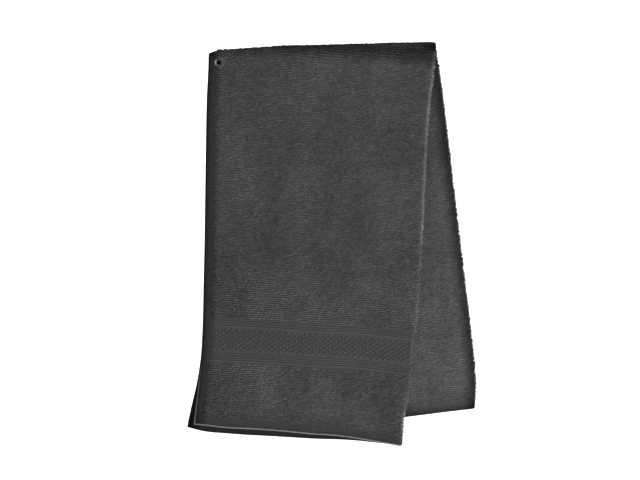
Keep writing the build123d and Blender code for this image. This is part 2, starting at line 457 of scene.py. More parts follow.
def plyTwist(add):
    # the ridges of a yarn's plies winding round it, from the tree's own marks along and round the yarn
    along = add("ShaderNodeAttribute", attribute_name="alongYarn").outputs["Fac"]
    around = add("ShaderNodeAttribute", attribute_name="roundYarn").outputs["Vector"]
    phase = add("ShaderNodeMath", [along, 2 * math.pi * 1000 / finishes["twistPitch"]],
                operation="MULTIPLY")
    parts = add("ShaderNodeSeparateXYZ", {"Vector": around}).outputs
    terms = []
    for operation, axis in (("SINE", "X"), ("COSINE", "Y")):
        turned = add("ShaderNodeMath", [phase], operation=operation)
        terms.append(add("ShaderNodeMath", [turned, parts[axis]], operation="MULTIPLY"))
    return add("ShaderNodeMath", [terms[0], terms[1]], operation="ADD")


def cottonPile():
    # Ring-spun cotton loops, dyed charcoal: dull, with soft patches where the pile lies another way.
    material, add, place = startMaterial("cottonTerryLoops")
    drawn = add("ShaderNodeMapping", {"Scale": (1.0, 1.0, finishes["patchDraw"]), "Vector": place})
    patches = add("ShaderNodeTexNoise", {
        "Scale": 1000 / finishes["patchSize"], "Detail": 4.0, "Roughness": 0.6, "Vector": drawn})
    specks = add("ShaderNodeTexNoise", {
        "Scale": 1000 / finishes["speckSize"], "Detail": 2.0, "Vector": place})
    tint = add("ShaderNodeAttribute", attribute_name="loopTint").outputs["Fac"]
    total, middle = 0.0, 0.0
    for share, part in (("tintShare", tint), ("speckShare", specks), ("patchShare", patches)):
        total = add("ShaderNodeMath", [part, finishes[share], total], operation="MULTIPLY_ADD")
        middle += finishes[share] / 2
    spread = add("ShaderNodeMapRange", {
        "From Min": middle - finishes["contrast"], "From Max": middle + finishes["contrast"],
        "Value": total})
    colour = add("ShaderNodeMix", {"Factor": spread, **colours("pileDark", "pileLight")},
                 data_type="RGBA")
    fibre = add("ShaderNodeTexNoise", {
        "Scale": 1000 / finishes["fibreSize"], "Detail": 1.0, "Vector": place})
    rough = add("ShaderNodeMapRange", {"To Min": 0.82, "To Max": 0.98, "Value": fibre})
    height = add("ShaderNodeMath", [fibre, 0.4, plyTwist(add)], operation="MULTIPLY_ADD")
    bump = add("ShaderNodeBump", {"Strength": 0.6, "Distance": 0.00012, "Height": height})
    endMaterial(add, colour, rough, bump, dullCotton)
    return material


def wovenCotton(name, darkName, lightName, strength):
    # Plain-woven cotton: a fine over-and-under of two yarns, matt, with painted shade down between them.
    material, add, place = startMaterial(name)
    flat = add("ShaderNodeUVMap", uv_map="flatCloth")
    parts = add("ShaderNodeSeparateXYZ", {"Vector": flat}).outputs
    waves = []
    for axis in ("X", "Y"):
        phase = add("ShaderNodeMath", [parts[axis], 1000 / finishes["weavePitch"] * math.pi],
                    operation="MULTIPLY")
        waves.append(add("ShaderNodeMath", [phase], operation="SINE"))
    over = add("ShaderNodeMath", [waves[0], waves[1]], operation="MULTIPLY")
    height = add("ShaderNodeMapRange", {"From Min": -1.0, "From Max": 1.0, "Value": over})
    grain = add("ShaderNodeTexNoise", {
        "Scale": 1000 / finishes["speckSize"], "Detail": 4.0, "Vector": place})
    uneven = add("ShaderNodeMath", [grain, 0.6], operation="MULTIPLY")
    # painted shade: the colour follows the weave's height, darker down between the yarns, with random grain
    # on top
    tone = add("ShaderNodeMath", [height, 0.45, uneven], operation="MULTIPLY_ADD", use_clamp=True)
    colour = add("ShaderNodeMix", {"Factor": tone, **colours(darkName, lightName)}, data_type="RGBA")
    rough = add("ShaderNodeMapRange", {"To Min": 0.8, "To Max": 0.95, "Value": grain})
    bump = add("ShaderNodeBump", {"Strength": strength, "Distance": 0.0002, "Height": height})
    endMaterial(add, colour, rough, bump, dullCotton)
    return material


def smoothYarn(name, darkName, lightName, leastRough, mostRough):
    # A smooth twisted yarn, with a soft shine where the twist turns to the light.
    material, add, place = startMaterial(name)
    grain = add("ShaderNodeTexNoise", {
        "Scale": 1000 / finishes["yarnGrain"], "Detail": 2.0, "Vector": place})
    colour = add("ShaderNodeMix", {"Factor": grain, **colours(darkName, lightName)}, data_type="RGBA")
    rough = add("ShaderNodeMapRange", {"To Min": leastRough, "To Max": mostRough, "Value": grain})
    bump = add("ShaderNodeBump", {"Strength": 0.3, "Distance": 0.0001, "Height": grain})
    endMaterial(add, colour, rough, bump, {"IOR": 1.54, "Specular IOR Level": 0.2})
    return material


def nickelPlate():
    # Nickel-plated brass, pressed and tumbled: bright, warm grey, with faint scuffs from use.
    material, add, place = startMaterial("pressedNickelPlate")
    scuffs = add("ShaderNodeTexNoise", {
        "Scale": 1000 / finishes["scuffSize"], "Detail": 6.0, "Roughness": 0.7, "Vector": place})
    colour = add("ShaderNodeMix", {"Factor": scuffs, **colours("nickelDark", "nickel")}, data_type="RGBA")
    rough = add("ShaderNodeMapRange", {"To Min": 0.16, "To Max": 0.36, "Value": scuffs})
    bump = add("ShaderNodeBump", {"Strength": 0.08, "Distance": 0.0001, "Height": scuffs})
    endMaterial(add, colour, rough, bump, {"Metallic": 1.0}, withPaintedLight=False)
    return material


dullCotton = {"IOR": 1.5, "Specular IOR Level": 0.03}  # loose fibres scatter nearly all of the shine
pileFinish = cottonPile()
groundFinish = wovenCotton("cottonGroundWeave", "groundDark", "groundLight", 0.8)
flatFinish = wovenCotton("cottonFlatWeave", "flatDark", "flatLight", 0.6)
threadFinish = smoothYarn("spunPolyesterThread", "threadDark", "threadLight", 0.5, 0.7)
floatFinish = smoothYarn("combedCottonFloats", "floatDark", "floatLight", 0.65, 0.85)
nickelFinish = nickelPlate()
print("materials made")


# ---- geometry node trees ----
def newTree(name, *sizes):
    tree = bpy.data.node_groups.new(name, "GeometryNodeTree")
    tree.interface.new_socket("Geometry", in_out="INPUT", socket_type="NodeSocketGeometry")
    for size in sizes:
        tree.interface.new_socket(size, in_out="INPUT", socket_type="NodeSocketFloat")
    tree.interface.new_socket("Finish", in_out="INPUT", socket_type="NodeSocketMaterial")
    tree.interface.new_socket("Geometry", in_out="OUTPUT", socket_type="NodeSocketGeometry")
    add = nodeAdder(tree)
    return tree, add, add("NodeGroupInput").outputs


def yarnArch(add, width, height, radius, sides, segments, skew=0.0):
    # a short length of yarn that rises out of the cloth and goes back in
    x, y = {}, {}
    for places, factors in ((x, {"start": -0.5, "startHandle": -0.72, "endHandle": 0.72, "end": 0.5}),
                            (y, {"low": -skew, "high": skew})):
        for key, factor in factors.items():
            places[key] = add("ShaderNodeMath", [width, factor], operation="MULTIPLY")
    rise = add("ShaderNodeMath", [height, 1.33], operation="MULTIPLY")
    corners = {}
    for name, place in (("Start", (x["start"], y["low"], 0.0)),
                        ("Start Handle", (x["startHandle"], y["low"], rise)),
                        ("End Handle", (x["endHandle"], y["high"], rise)),
                        ("End", (x["end"], y["high"], 0.0))):
        corners[name] = add("ShaderNodeCombineXYZ", dict(zip("XYZ", place)))
    curve = add("GeometryNodeCurvePrimitiveBezierSegment", {"Resolution": segments, **corners},
                mode="POSITION")
    ring = add("GeometryNodeCurvePrimitiveCircle", {"Resolution": sides, "Radius": radius})
    along = socketAt(add("GeometryNodeSplineParameter").outputs, "Length")
    marked = add("GeometryNodeStoreNamedAttribute", {
        "Name": "alongYarn", "Geometry": curve, "Value": along}, data_type="FLOAT", domain="POINT")
    facing = add("ShaderNodeVectorMath", {"Vector": add("GeometryNodeInputPosition")},
                 operation="NORMALIZE")
    profile = add("GeometryNodeStoreNamedAttribute", {
        "Name": "roundYarn", "Geometry": ring, "Value": facing}, data_type="FLOAT_VECTOR", domain="POINT")
    return add("GeometryNodeCurveToMesh", {"Curve": marked, "Profile Curve": profile})


def closeTree(add, instances, finish, tintSeed):
    # gives each copy its own tint, makes the copies real and sets the finish
    spread = add("FunctionNodeRandomValue", {"Min": 0.0, "Max": 1.0, "Seed": tintSeed}, data_type="FLOAT")
    tinted = add("GeometryNodeStoreNamedAttribute", {
        "Name": "loopTint", "Geometry": instances, "Value": spread}, data_type="FLOAT", domain="INSTANCE")
    real = add("GeometryNodeRealizeInstances", {"Geometry": tinted})
    smooth = add("GeometryNodeSetShadeSmooth", {"Geometry": real})
    finished = add("GeometryNodeSetMaterial", {"Geometry": smooth, "Material": finish})
    add("NodeGroupOutput", {"Geometry": finished})


def marks(add, *names):
    # vectors kept on the points that a tree grows from
    return [add("GeometryNodeInputNamedAttribute", {"Name": name}, data_type="FLOAT_VECTOR")
            for name in names]


def turnedTo(add, outward, along):
    # stands a copy up along the first vector and turns it as near as it goes to the second
    upright = add("FunctionNodeAlignRotationToVector", {"Vector": outward}, axis="Z")
    return add("FunctionNodeAlignRotationToVector", {"Rotation": upright, "Vector": along},
               axis="X", pivot_axis="Z")


def terryLoopTree(name, sides, segments):
    # one loop of yarn on every point, turned and leaning a little
    tree, add, given = newTree(name, "Width", "Height", "Yarn Radius", "Lean", "Turn", "Spread")
    loop = yarnArch(add, given["Width"], given["Height"], given["Yarn Radius"], sides, segments, 0.14)
    nudged = []
    for mark, amount, seed in zip(marks(add, "outward", "alongRow"), ("Lean", "Turn"), (11, 12)):
        toss = add("FunctionNodeRandomValue", {"Min": (-1, -1, -1), "Max": (1, 1, 1), "Seed": seed},
                   data_type="FLOAT_VECTOR")
        nudge = add("ShaderNodeVectorMath", {"Vector": toss, "Scale": given[amount]}, operation="SCALE")
        nudged.append(add("ShaderNodeVectorMath", [mark, nudge], operation="ADD"))
    least, most = [add("ShaderNodeMath", [1.0, given["Spread"]], operation=operation)
                   for operation in ("SUBTRACT", "ADD")]
    size = add("FunctionNodeRandomValue", {"Seed": 13, "Min": least, "Max": most}, data_type="FLOAT")
    copies = add("GeometryNodeInstanceOnPoints", {
        "Points": given["Geometry"], "Instance": loop, "Rotation": turnedTo(add, *nudged), "Scale": size})
    closeTree(add, copies, given["Finish"], 14)
    return tree


def threadPathTree():
    # short lengths of thread one after another along a path, such as a row of stitches or a raised cord
    tree, add, given = newTree("threadAlongPath", "Pitch", "Length", "Height", "Thread Radius", "Slant")
    stitch = yarnArch(add, given["Length"], given["Height"], given["Thread Radius"], 4, 4)
    path = add("GeometryNodeMeshToCurve", {"Mesh": given["Geometry"]})
    spaced = add("GeometryNodeResampleCurve", {"Curve": path, "Length": given["Pitch"]}, mode="LENGTH")
    along = turnedTo(add, *marks(add, "outward"), add("GeometryNodeInputTangent"))
    turn = add("ShaderNodeCombineXYZ", {"Z": given["Slant"]})
    twist = add("FunctionNodeEulerToRotation", {"Euler": turn})
    slanted = add("FunctionNodeRotateRotation", {"Rotation": along, "Rotate By": twist},
                  rotation_space="LOCAL")
    copies = add("GeometryNodeInstanceOnPoints", {
        "Points": spaced, "Instance": stitch, "Rotation": slanted})
    closeTree(add, copies, given["Finish"], 21)
    return tree


def diamondTree():
    # a small woven diamond on every point: five threads side by side, longest in the middle
    tree, add, given = newTree("wovenDiamonds", "Width", "Pitch", "Height", "Thread Radius")
    thread = yarnArch(add, given["Width"], given["Height"], given["Thread Radius"], 4, 4)
    first = add("ShaderNodeMath", [given["Pitch"], -2.0], operation="MULTIPLY")
    rows = add("GeometryNodeMeshLine", {
        "Count": 5, "Start Location": add("ShaderNodeCombineXYZ", {"Y": first}),
        "Offset": add("ShaderNodeCombineXYZ", {"Y": given["Pitch"]})}, mode="OFFSET")
    fromMiddle = add("ShaderNodeMath", [add("GeometryNodeInputIndex"), 2.0], operation="SUBTRACT")
    distance = add("ShaderNodeMath", [fromMiddle], operation="ABSOLUTE")
    shorter = add("ShaderNodeMath", [distance, -0.36, 1.0], operation="MULTIPLY_ADD")
    oneDiamond = add("GeometryNodeInstanceOnPoints", {
        "Points": rows, "Instance": thread,
        "Scale": add("ShaderNodeCombineXYZ", {"X": shorter, "Y": 1.0, "Z": 1.0})})
    copies = add("GeometryNodeInstanceOnPoints", {
        "Points": given["Geometry"], "Instance": oneDiamond,
        "Rotation": turnedTo(add, *marks(add, "outward", "alongRow"))})
    closeTree(add, copies, given["Finish"], 31)
    return tree


def grow(piece, tree, values):
    # runs a tree on the piece's points and leaves the result as a plain mesh
    modifier = piece.modifiers.new(tree.name, "NODES")
    modifier.node_group = tree
    for item in tree.interface.items_tree:
        if item.in_out == "INPUT" and item.name in values:
            modifier[item.identifier] = values[item.name]
    return plainMesh(piece)


fineLoops = terryLoopTree("terryLoops", 4, 3)
plainLoops = terryLoopTree("plainTerryLoops", 3, 3)  # for the faces that look at each other
pathTree, floatTree = threadPathTree(), diamondTree()
print("node trees made")


# ---- woven ground ----
def evenSteps(length, step, fineAt):
    # steps along the cloth, finer where the eyelet goes through
    even = np.linspace(0, length, round(length / step) + 1)
    reach = cloth["fineReach"]
    fine = np.arange(fineAt - reach, fineAt + reach, cloth["fineStep"])
    fine = fine[(fine > 0.3) & (fine < length)]
    away = (even < fine[0] - 0.3) | (even > fine[-1] + 0.3)
    return np.sort(np.concatenate([even[away], fine]))


def roundTheFold(oneLayer):
    # the same places on both layers, with a few more on the turn between them
    turn = cloth["across"] + foldArc * np.linspace(0, 1, 9)[1:-1]
    return np.concatenate([oneLayer, turn, (acrossAll - oneLayer)[::-1]])


def aroundEyelet(half, points, faces):
    # the front's faces, without those that the eyelet's shank goes through
    if half["side"] > 0:
        return faces
    hole = nearEyelet(points, eyelet["shank"] + 0.1).ravel()
    return [f for f in faces if not any(hole[v] for v in f)]


def makeGround(name, half):
    length = fallLength(half)
    columns = evenSteps(cloth["across"], cloth["columnStep"], eyeletAcross)
    across = roundTheFold(columns)
    down = evenSteps(length, cloth["rowStep"], eyeletDown(half)) / length
    a, t = np.meshgrid(across, down)
    points = clothPoint(half, a, t)
    faces = aroundEyelet(half, points, gridFaces(len(down), len(across)))
    piece = meshObject(name, points, faces)
    setUv(piece, np.stack([a, t * length], -1))
    setShade(piece, edgeShade(half, a, t))
    piece.data.materials.append(groundFinish)
    piece.data.materials.append(flatFinish)
    if half["side"] < 0:
        fromEnd = (1 - np.array([t.ravel()[list(f)].mean() for f in faces])) * length
        flat = (fromEnd > cloth["borderLow"]) & (fromEnd < cloth["borderHigh"])
        piece.data.polygons.foreach_set("material_index", flat.astype(np.int32))
    shell = piece.modifiers.new("thickness", "SOLIDIFY")
    shell.thickness = cloth["ground"] * mm
    shell.offset = 0.0
    shell.use_even_offset = True
    plainMesh(piece)
    return turnOutwards(piece)


frontCloth = makeGround("frontCloth", halves["front"])
backCloth = makeGround("backCloth", halves["back"])
print("woven ground made")

# ---- turned hems ----
hems = {
    "thickness": 2.9,
    "groove": 0.66,        # of the thickness, where the stitches draw the hem in
    "tip": [(0.0, 0.05), (0.25, 0.55), (0.8, 0.9), (1.8, 1.0)],  # how the end hem rounds off at each side
    "turnDown": 0.8,       # how far the end hem's fold lies below the ground's last row
    "sideThickness": 2.5,
    "stitchInset": 1.6,    # from the hem's inner edge
    "pucker": 0.12,        # how much each stitch pulls the hem in
    "stitchPitch": 2.6,
    "sideStep": 1.8,       # between the side hem's cross sections
}


def hemSection(width, thickness):
    # rounded at the outer edge, drawn in at the stitch line, flat towards the pile
    line = width - hems["stitchInset"]
    outline = [(0.0, 0.0), (0.25, 0.55), (0.8, 0.9), (1.8, 1.0), (width * 0.45, 1.0), (line - 0.9, 0.97),
               (line, hems["groove"]), (line + 0.9, 0.86), (width - 0.15, 0.55), (width, 0.0)]
    upper = [(w, h * thickness / 2) for w, h in outline]
    return np.array(upper + [(w, -h) for w, h in reversed(upper[1:-1])])


def puckered(along):
    # each stitch draws the hem's thickness in a little
    return 1 - hems["pucker"] * (0.5 + 0.5 * np.cos(math.pi * along / hems["stitchPitch"]))


def hemShade(half, across, down, fromEdge, highlightTone):
    # painted light and shade on a hem: the painted shade lifted on the face it turns to its side, deeper on
    # the front's inner layer, and a painted highlight along the very fold of the front's outer layer's
    # lower hems
    shade = edgeShade(half, across, down)
    fromOpen = np.minimum(across, acrossAll - across)
    shade = shade * (1 + tones["edgeFace"] * smoothStep(*tones["edgeFaceReach"], fromOpen))
    if half["side"] > 0:
        return shade
    onInner = across > acrossAll / 2
    shade = np.where(onInner, shade * tones["innerLayerShade"], shade)
    least, most = tones["highlightBand"]
    atFold = (fromEdge > least) & (fromEdge < most) & ~onInner
    amount = smoothStep(*tones["highlightFrom"], np.asarray(down, float))
    return np.where(atFold, shade + (highlightTone - shade) * amount, shade)


def makeHem(name, half, points, flat, shade):
    # a closed length of hem: one ring of points after another along it, with both ends closed
    rings, count = points.shape[:2]
    faces = gridFaces(rings, count, closeColumns=True)
    faces += [tuple(range(count)), tuple((rings - 1) * count + k for k in reversed(range(count)))]
    piece = meshObject(name, points, aroundEyelet(half, points, faces))
    setUv(piece, flat)
    setShade(piece, shade)
    piece.data.materials.append(flatFinish)
    return turnOutwards(piece)


def makeEndHem(name, half):
    length = fallLength(half)
    section = hemSection(cloth["endHem"], hems["thickness"])
    tip, tipLift = np.array(hems["tip"]).T
    across = roundTheFold(np.concatenate([tip, np.linspace(tip[-1] + 1.5, cloth["across"], 130)]))
    rounding = np.interp(np.minimum(across, acrossAll - across), tip, tipLift)
    a, up = np.meshgrid(across, section[:, 0], indexing="ij")
    lift = section[:, 1] * rounding[:, None] * puckered(a)
    points = clothPoint(half, a, 1 - (up - hems["turnDown"]) / length, lift)
    shade = hemShade(half, a, 1 - up / length, np.minimum(up, a), tones["highlightEnd"])
    return makeHem(name, half, points, np.stack([a, up], -1), shade)


def makeSideHem(name, half, layer):
    length = fallLength(half)
    section = hemSection(cloth["sideHem"], hems["sideThickness"])
    down = evenSteps(length, hems["sideStep"], eyeletDown(half)) / length
    t, inward = np.meshgrid(down, section[:, 0], indexing="ij")
    across = inward if layer == "outer" else acrossAll - inward
    points = clothPoint(half, across, t, section[:, 1] * puckered(t * length))
    shade = hemShade(half, across, t, inward, tones["highlightSide"])
    return makeHem(name, half, points, np.stack([inward, t * length], -1), shade)


endHems, sideHems = {}, {}
for halfName, half in halves.items():
    endHems[halfName] = makeEndHem(f"{halfName}EndHem", half)
    for layer in ("outer", "inner"):
        sideHems[halfName, layer] = makeSideHem(f"{halfName}{layer.title()}SideHem", half, layer)
print("hems made")

# ---- stitching ----
stitches = {
    "length": 2.1,
    "height": 0.42,
    "threadRadius": 0.17,
    "sunk": 0.1,
    "slant": 0.05,
    "aboveEnd": 6.0,       # where the side hem's stitching stops
    "fromSide": 5.0,       # and where the end hem's starts
}


def pathPiece(name, half, across, down, lift):
    # a run of joined points on the cloth that a tree lays threads along
    return clothPoints(name, half, across, down, lift, [(k, k + 1) for k in range(len(across) - 1)])


def joinPieces(pieces, name):
    bpy.ops.object.select_all(action="DESELECT")
    for piece in pieces:
        piece.select_set(True)
    bpy.context.view_layer.objects.active = pieces[0]
    bpy.ops.object.join()
    pieces[0].name = name
    return pieces[0]


def makeStitching(name, half):
    # the lockstitch of both hems, seen on both outside faces
    length = fallLength(half)
    onSide = hems["sideThickness"] / 2 * hems["groove"] - stitches["sunk"]
    onEnd = hems["thickness"] / 2 * hems["groove"] - stitches["sunk"]
    runs = []
    steps = np.linspace(0.0, 1 - stitches["aboveEnd"] / length, 240)
    for number, edge in enumerate((cloth["sideHem"] - hems["stitchInset"],
                                   acrossAll - cloth["sideHem"] + hems["stitchInset"])):
        runs.append(pathPiece(f"{name}Side{number}", half, np.full(steps.shape, edge), steps, onSide))
    endRow = 1 - (cloth["endHem"] - hems["stitchInset"] - hems["turnDown"]) / length
    steps = np.linspace(stitches["fromSide"], acrossAll - stitches["fromSide"], 400)
    runs.append(pathPiece(f"{name}End", half, steps, np.full(steps.shape, endRow), onEnd))
    return grow(joinPieces(runs, name), pathTree, {
        "Pitch": hems["stitchPitch"] * mm, "Length": stitches["length"] * mm,
        "Height": stitches["height"] * mm, "Thread Radius": stitches["threadRadius"] * mm,
        "Slant": stitches["slant"], "Finish": threadFinish})


stitching = {halfName: makeStitching(f"{halfName}HemStitching", half) for halfName, half in halves.items()}
print("stitching made")

# ---- dobby border ----
border = {
    "cords": 4,
    "cordPitch": 2.1,
    "firstCord": 1.05,     # from each edge of the border
    "floatPitch": 1.15,
    "floatLength": 1.9,
    "floatHeight": 0.85,
    "floatRadius": 0.36,
    "slant": 0.22,         # radians, the cord's twist
    "diamondWidth": 6.0,
    "diamondHeight": 4.6,
    "diamondShare": 0.78,  # of the room each diamond has
    "threadRadius": 0.3,
    "threadHeight": 0.55,
    "diamondTall": 4.7,    # thread pitches in a diamond's height, with half a thread above and below
    "sunk": 0.1,           # feet of the floats below the weave's surface
    "sideGap": 2.5,        # plain weave between the hems and the first diamond
}
onWeave = cloth["ground"] / 2 - border["sunk"]


def makeBorderCords(name, half):
    length = fallLength(half)
    steps = np.linspace(cloth["sideHem"] - 0.5, acrossAll - cloth["sideHem"] + 0.5, 420)
    runs = []
    for number in range(border["cords"]):
        offset = border["firstCord"] + number * border["cordPitch"]
        for fromEnd in (cloth["borderLow"] + offset, cloth["borderHigh"] - offset):
            row = np.full(steps.shape, 1 - fromEnd / length)
            runs.append(pathPiece(f"{name}{len(runs)}", half, steps, row, onWeave))
    return grow(joinPieces(runs, name), pathTree, {
        "Pitch": border["floatPitch"] * mm, "Length": border["floatLength"] * mm,
        "Height": border["floatHeight"] * mm, "Thread Radius": border["floatRadius"] * mm,
        "Slant": border["slant"], "Finish": floatFinish})


def makeDiamonds(name, half):
    # two sets of rows, the second half a diamond along and half a diamond down
    length = fallLength(half)
    clear = border["firstCord"] + border["cords"] * border["cordPitch"]
    low, high = cloth["borderLow"] + clear, cloth["borderHigh"] - clear
    rows = round((high - low) / border["diamondHeight"])
    pitch = (high - low) / rows
    left = cloth["sideHem"] + border["sideGap"]
    places = []
    for row in range(2 * rows - 1):
        shift = border["diamondWidth"] / 2 * (row % 2)
        for along in np.arange(left + shift, acrossAll - left, border["diamondWidth"]):
            places.append((along, 1 - (low + pitch * (row + 1) / 2) / length))
    across, down = np.array(places).T
    return grow(clothPoints(name, half, across, down, onWeave), floatTree, {
        "Width": border["diamondWidth"] * border["diamondShare"] * mm,
        "Pitch": pitch * border["diamondShare"] / border["diamondTall"] * mm,
        "Height": border["threadHeight"] * mm, "Thread Radius": border["threadRadius"] * mm,
        "Finish": floatFinish})


borderCords = makeBorderCords("borderCords", halves["front"])
borderDiamonds = makeDiamonds("borderDiamonds", halves["front"])
print("border made")

# ---- pile ----
pile = {
    "rowPitch": 2.0,
    "columnPitch": {"Outer": 1.62, "Inner": 2.0},
    "jitter": 0.16,
    "width": {"Outer": 1.75, "Inner": 2.0},
    "height": 1.6,
    "yarnRadius": {"Outer": 0.5, "Inner": 0.58},
    "lean": 0.32,
    "droop": 0.3,          # how far the loops hang down the cloth
    "turn": 0.36,          # how far each loop's plane may turn from the row's direction
    "spread": 0.22,
    "sunk": 0.25,          # feet of the loops below the weave's surface
    "hemGap": 0.4,
    "borderGap": 0.8,
    "eyeletGap": 2.9,      # the loops around the eyelet grow over its rim
    "collar": [(2.75, 9), (3.35, 12), (3.95, 14), (4.6, 16)],  # radius and count of loops crowded over it
    "collarTurn": 2.2,     # radians to each side of the pile's side
    "collarJitter": 0.06,
    "collarLift": 0.2,     # above the rim's dome
    "hangingBy": 6,        # loops over the rail stand up, and from a sixth of the way down they hang
    "bandTop": 60.0,       # mm of cloth from the seam, over the rail's bend, whose pile is left unattached while the rest hangs from the fall
    "bands": 4,            # pieces that each face is divided into, to keep each one a fair size
}


def loopFeet(half, acrossRange, columnPitch, fromTop, toTop, seed):
    # the feet of the loops in woven rows, every other row half a step along
    random = np.random.default_rng(seed)
    length = fallLength(half)
    low, high = acrossRange
    lastRow = length - cloth["endHem"] + 0.2
    count = round(lastRow / pile["rowPitch"])
    pitch = lastRow / (count - 0.5)
    rows = pitch * (np.arange(count) - 0.5)[1:]  # half a row in from the seam, so that the halves meet
    rows = np.append(rows, lastRow)
    rows = rows[(rows >= fromTop) & (rows < toTop)]
    if half["side"] < 0:
        fromEnd = length - rows
        gap = pile["borderGap"]
        rows = rows[(fromEnd < cloth["borderLow"] - gap) | (fromEnd > cloth["borderHigh"] + gap)]
    across, down = [], []
    for row in rows:
        shift = columnPitch / 2 * (round((lastRow - row) / pitch) % 2)
        columns = np.arange(low + shift, high, columnPitch)
        across.append(columns)
        down.append(np.full(columns.shape, row))
    across, down = np.concatenate(across), np.concatenate(down)
    across = np.clip(across + random.normal(0, pile["jitter"], across.shape), low - 0.3, high + 0.3)
    down = (down + random.normal(0, pile["jitter"] * 0.6, down.shape)) / length
    points = clothPoint(half, across, down, cloth["ground"] / 2 - pile["sunk"])
    if half["side"] < 0:
        keep = ~nearEyelet(points, pile["eyeletGap"])
        across, down, points = across[keep], down[keep], points[keep]
    return points, across, down


def collarFeet(half, random):
    # the loops that crowd over the eyelet's rim from the pile's side
    across, down = [], []
    for radius, count in pile["collar"]:
        angles = np.linspace(-pile["collarTurn"], pile["collarTurn"], count)
        angles = angles + random.normal(0, pile["collarJitter"], count)
        across.append(eyeletAcross + radius * np.cos(angles))
        down.append((eyeletDown(half) - radius * np.sin(angles)) / fallLength(half))
    across, down = np.concatenate(across), np.concatenate(down)
    return clothPoint(half, across, down, eyelet["dome"] + pile["collarLift"]), across, down


def makePile(name, half, face, acrossRange, fromTop, toTop, seed):
    points, across, down = loopFeet(half, acrossRange, pile["columnPitch"][face], fromTop, toTop, seed)
    if half["side"] < 0 and face == "Outer" and fromTop == 0:
        collar = collarFeet(half, np.random.default_rng(seed + 50))
        points, across, down = [np.concatenate(pair) for pair in zip((points, across, down), collar)]
    piece = meshObject(name, points)
    hanging = clothPoint(half, across, down + 0.002) - clothPoint(half, across, down - 0.002)
    hanging = hanging / np.linalg.norm(hanging, axis=-1, keepdims=True)
    below = smoothStep(0, 1, down * pile["hangingBy"])[:, None]
    setVectors(piece, "outward", outwardAt(half, across, down) + pile["droop"] * below * hanging)
    setVectors(piece, "alongRow", rowDirection(half, across, down))
    setShade(piece, edgeShade(half, across, down))
    return grow(piece, fineLoops if face == "Outer" else plainLoops, {
        "Width": pile["width"][face] * mm, "Height": pile["height"] * mm,
        "Yarn Radius": pile["yarnRadius"][face] * mm, "Lean": pile["lean"], "Turn": pile["turn"],
        "Spread": pile["spread"], "Finish": pileFinish})


pileBending, pileHanging = [], []
middleFold = acrossAll / 2
for halfNumber, (halfName, half) in enumerate(halves.items()):
    length = fallLength(half)
    edges = [0.0, pile["bandTop"]] + list(np.linspace(pile["bandTop"], length, pile["bands"])[1:])
    start = cloth["sideHem"] + pile["hemGap"]
    faces = {"Outer": (start, middleFold), "Inner": (middleFold, acrossAll - start)}
    for faceNumber, (faceName, acrossRange) in enumerate(faces.items()):
        for band in range(len(edges) - 1):
            seed = 100 * halfNumber + 10 * faceNumber + band
            piece = makePile(f"{halfName}{faceName}Pile{band}", half, faceName, acrossRange,
                             edges[band], edges[band + 1], seed)
            (pileBending if band == 0 else pileHanging).append((piece, halfName))
print("pile made:", 2 * sum(len(p.data.polygons) for p, _ in pileBending + pileHanging), "triangles")

# ---- eyelet ----
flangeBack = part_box("eyelet")[0][1] / mm + eyelet["rim"]
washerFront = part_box("eyelet_washer")[0][1] / mm
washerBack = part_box("eyelet_washer")[1][1] / mm


def lathe(name, outline):
    # outline holds (radius, y) and closes on itself; it is turned about the eyelet's axis
    segments = eyelet["segments"]
    rings = []
    for radius, y in outline:
        angles = 2 * math.pi * np.arange(segments) / segments
        ring = np.stack([eyeletX + radius * np.cos(angles), np.full(segments, y),
                         eyeletZ + radius * np.sin(angles)], -1)
        rings.append(ring)
    faces = gridFaces(len(rings), segments, closeColumns=True)
    last = (len(rings) - 1) * segments
    for c in range(segments):
        n = (c + 1) % segments
        faces.append((last + c, last + n, n, c))
    piece = meshObject(name, np.array(rings), faces)
    piece.data.materials.append(nickelFinish)
    return turnOutwards(piece)


def arc(centre, radius, start, end, count):
    angles = np.radians(np.linspace(start, end, count))
    return [(centre[0] + radius[0] * math.cos(k), centre[1] + radius[1] * math.sin(k)) for k in angles]


bore, shank, flange, dome, lip = [eyelet[key] for key in ("bore", "shank", "flange", "dome", "lip")]
rimMiddle, rimHalf = (bore + flange) / 2, (flange - bore) / 2
eyeletShell = lathe("eyeletShell", (
    arc((rimMiddle, flangeBack), (rimHalf, -dome), 180, 0, 15)  # the domed rim, outside and then inside
    + arc((rimMiddle + 0.25, flangeBack), (rimHalf - 0.4, -dome * 0.55), 0, 150, 7)[1:]
    + [(shank, flangeBack + 0.2), (shank, washerBack - 0.1)]
    + arc((shank + 0.35, washerBack), (0.35, lip), 180, 0, 7)  # rolled over the washer
    + arc((shank + 0.2, washerBack), (0.7, lip + 0.35), 0, 180, 9)[1:-1]
    + [(bore, washerBack)]))
eyeletWasher = lathe("eyeletWasher", [  # cupped, with its corners rounded off
    (shank + 0.08, washerFront + 0.25), (shank + 0.5, washerFront), (flange - 0.5, washerFront + 0.1),
    (flange, washerFront + 0.45), (flange - 0.1, washerBack - 0.1), (flange - 0.5, washerBack),
    (shank + 0.5, washerBack - 0.05), (shank + 0.08, washerBack - 0.2)])
print("eyelet made")


def bendWith(piece, half):
    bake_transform(piece)


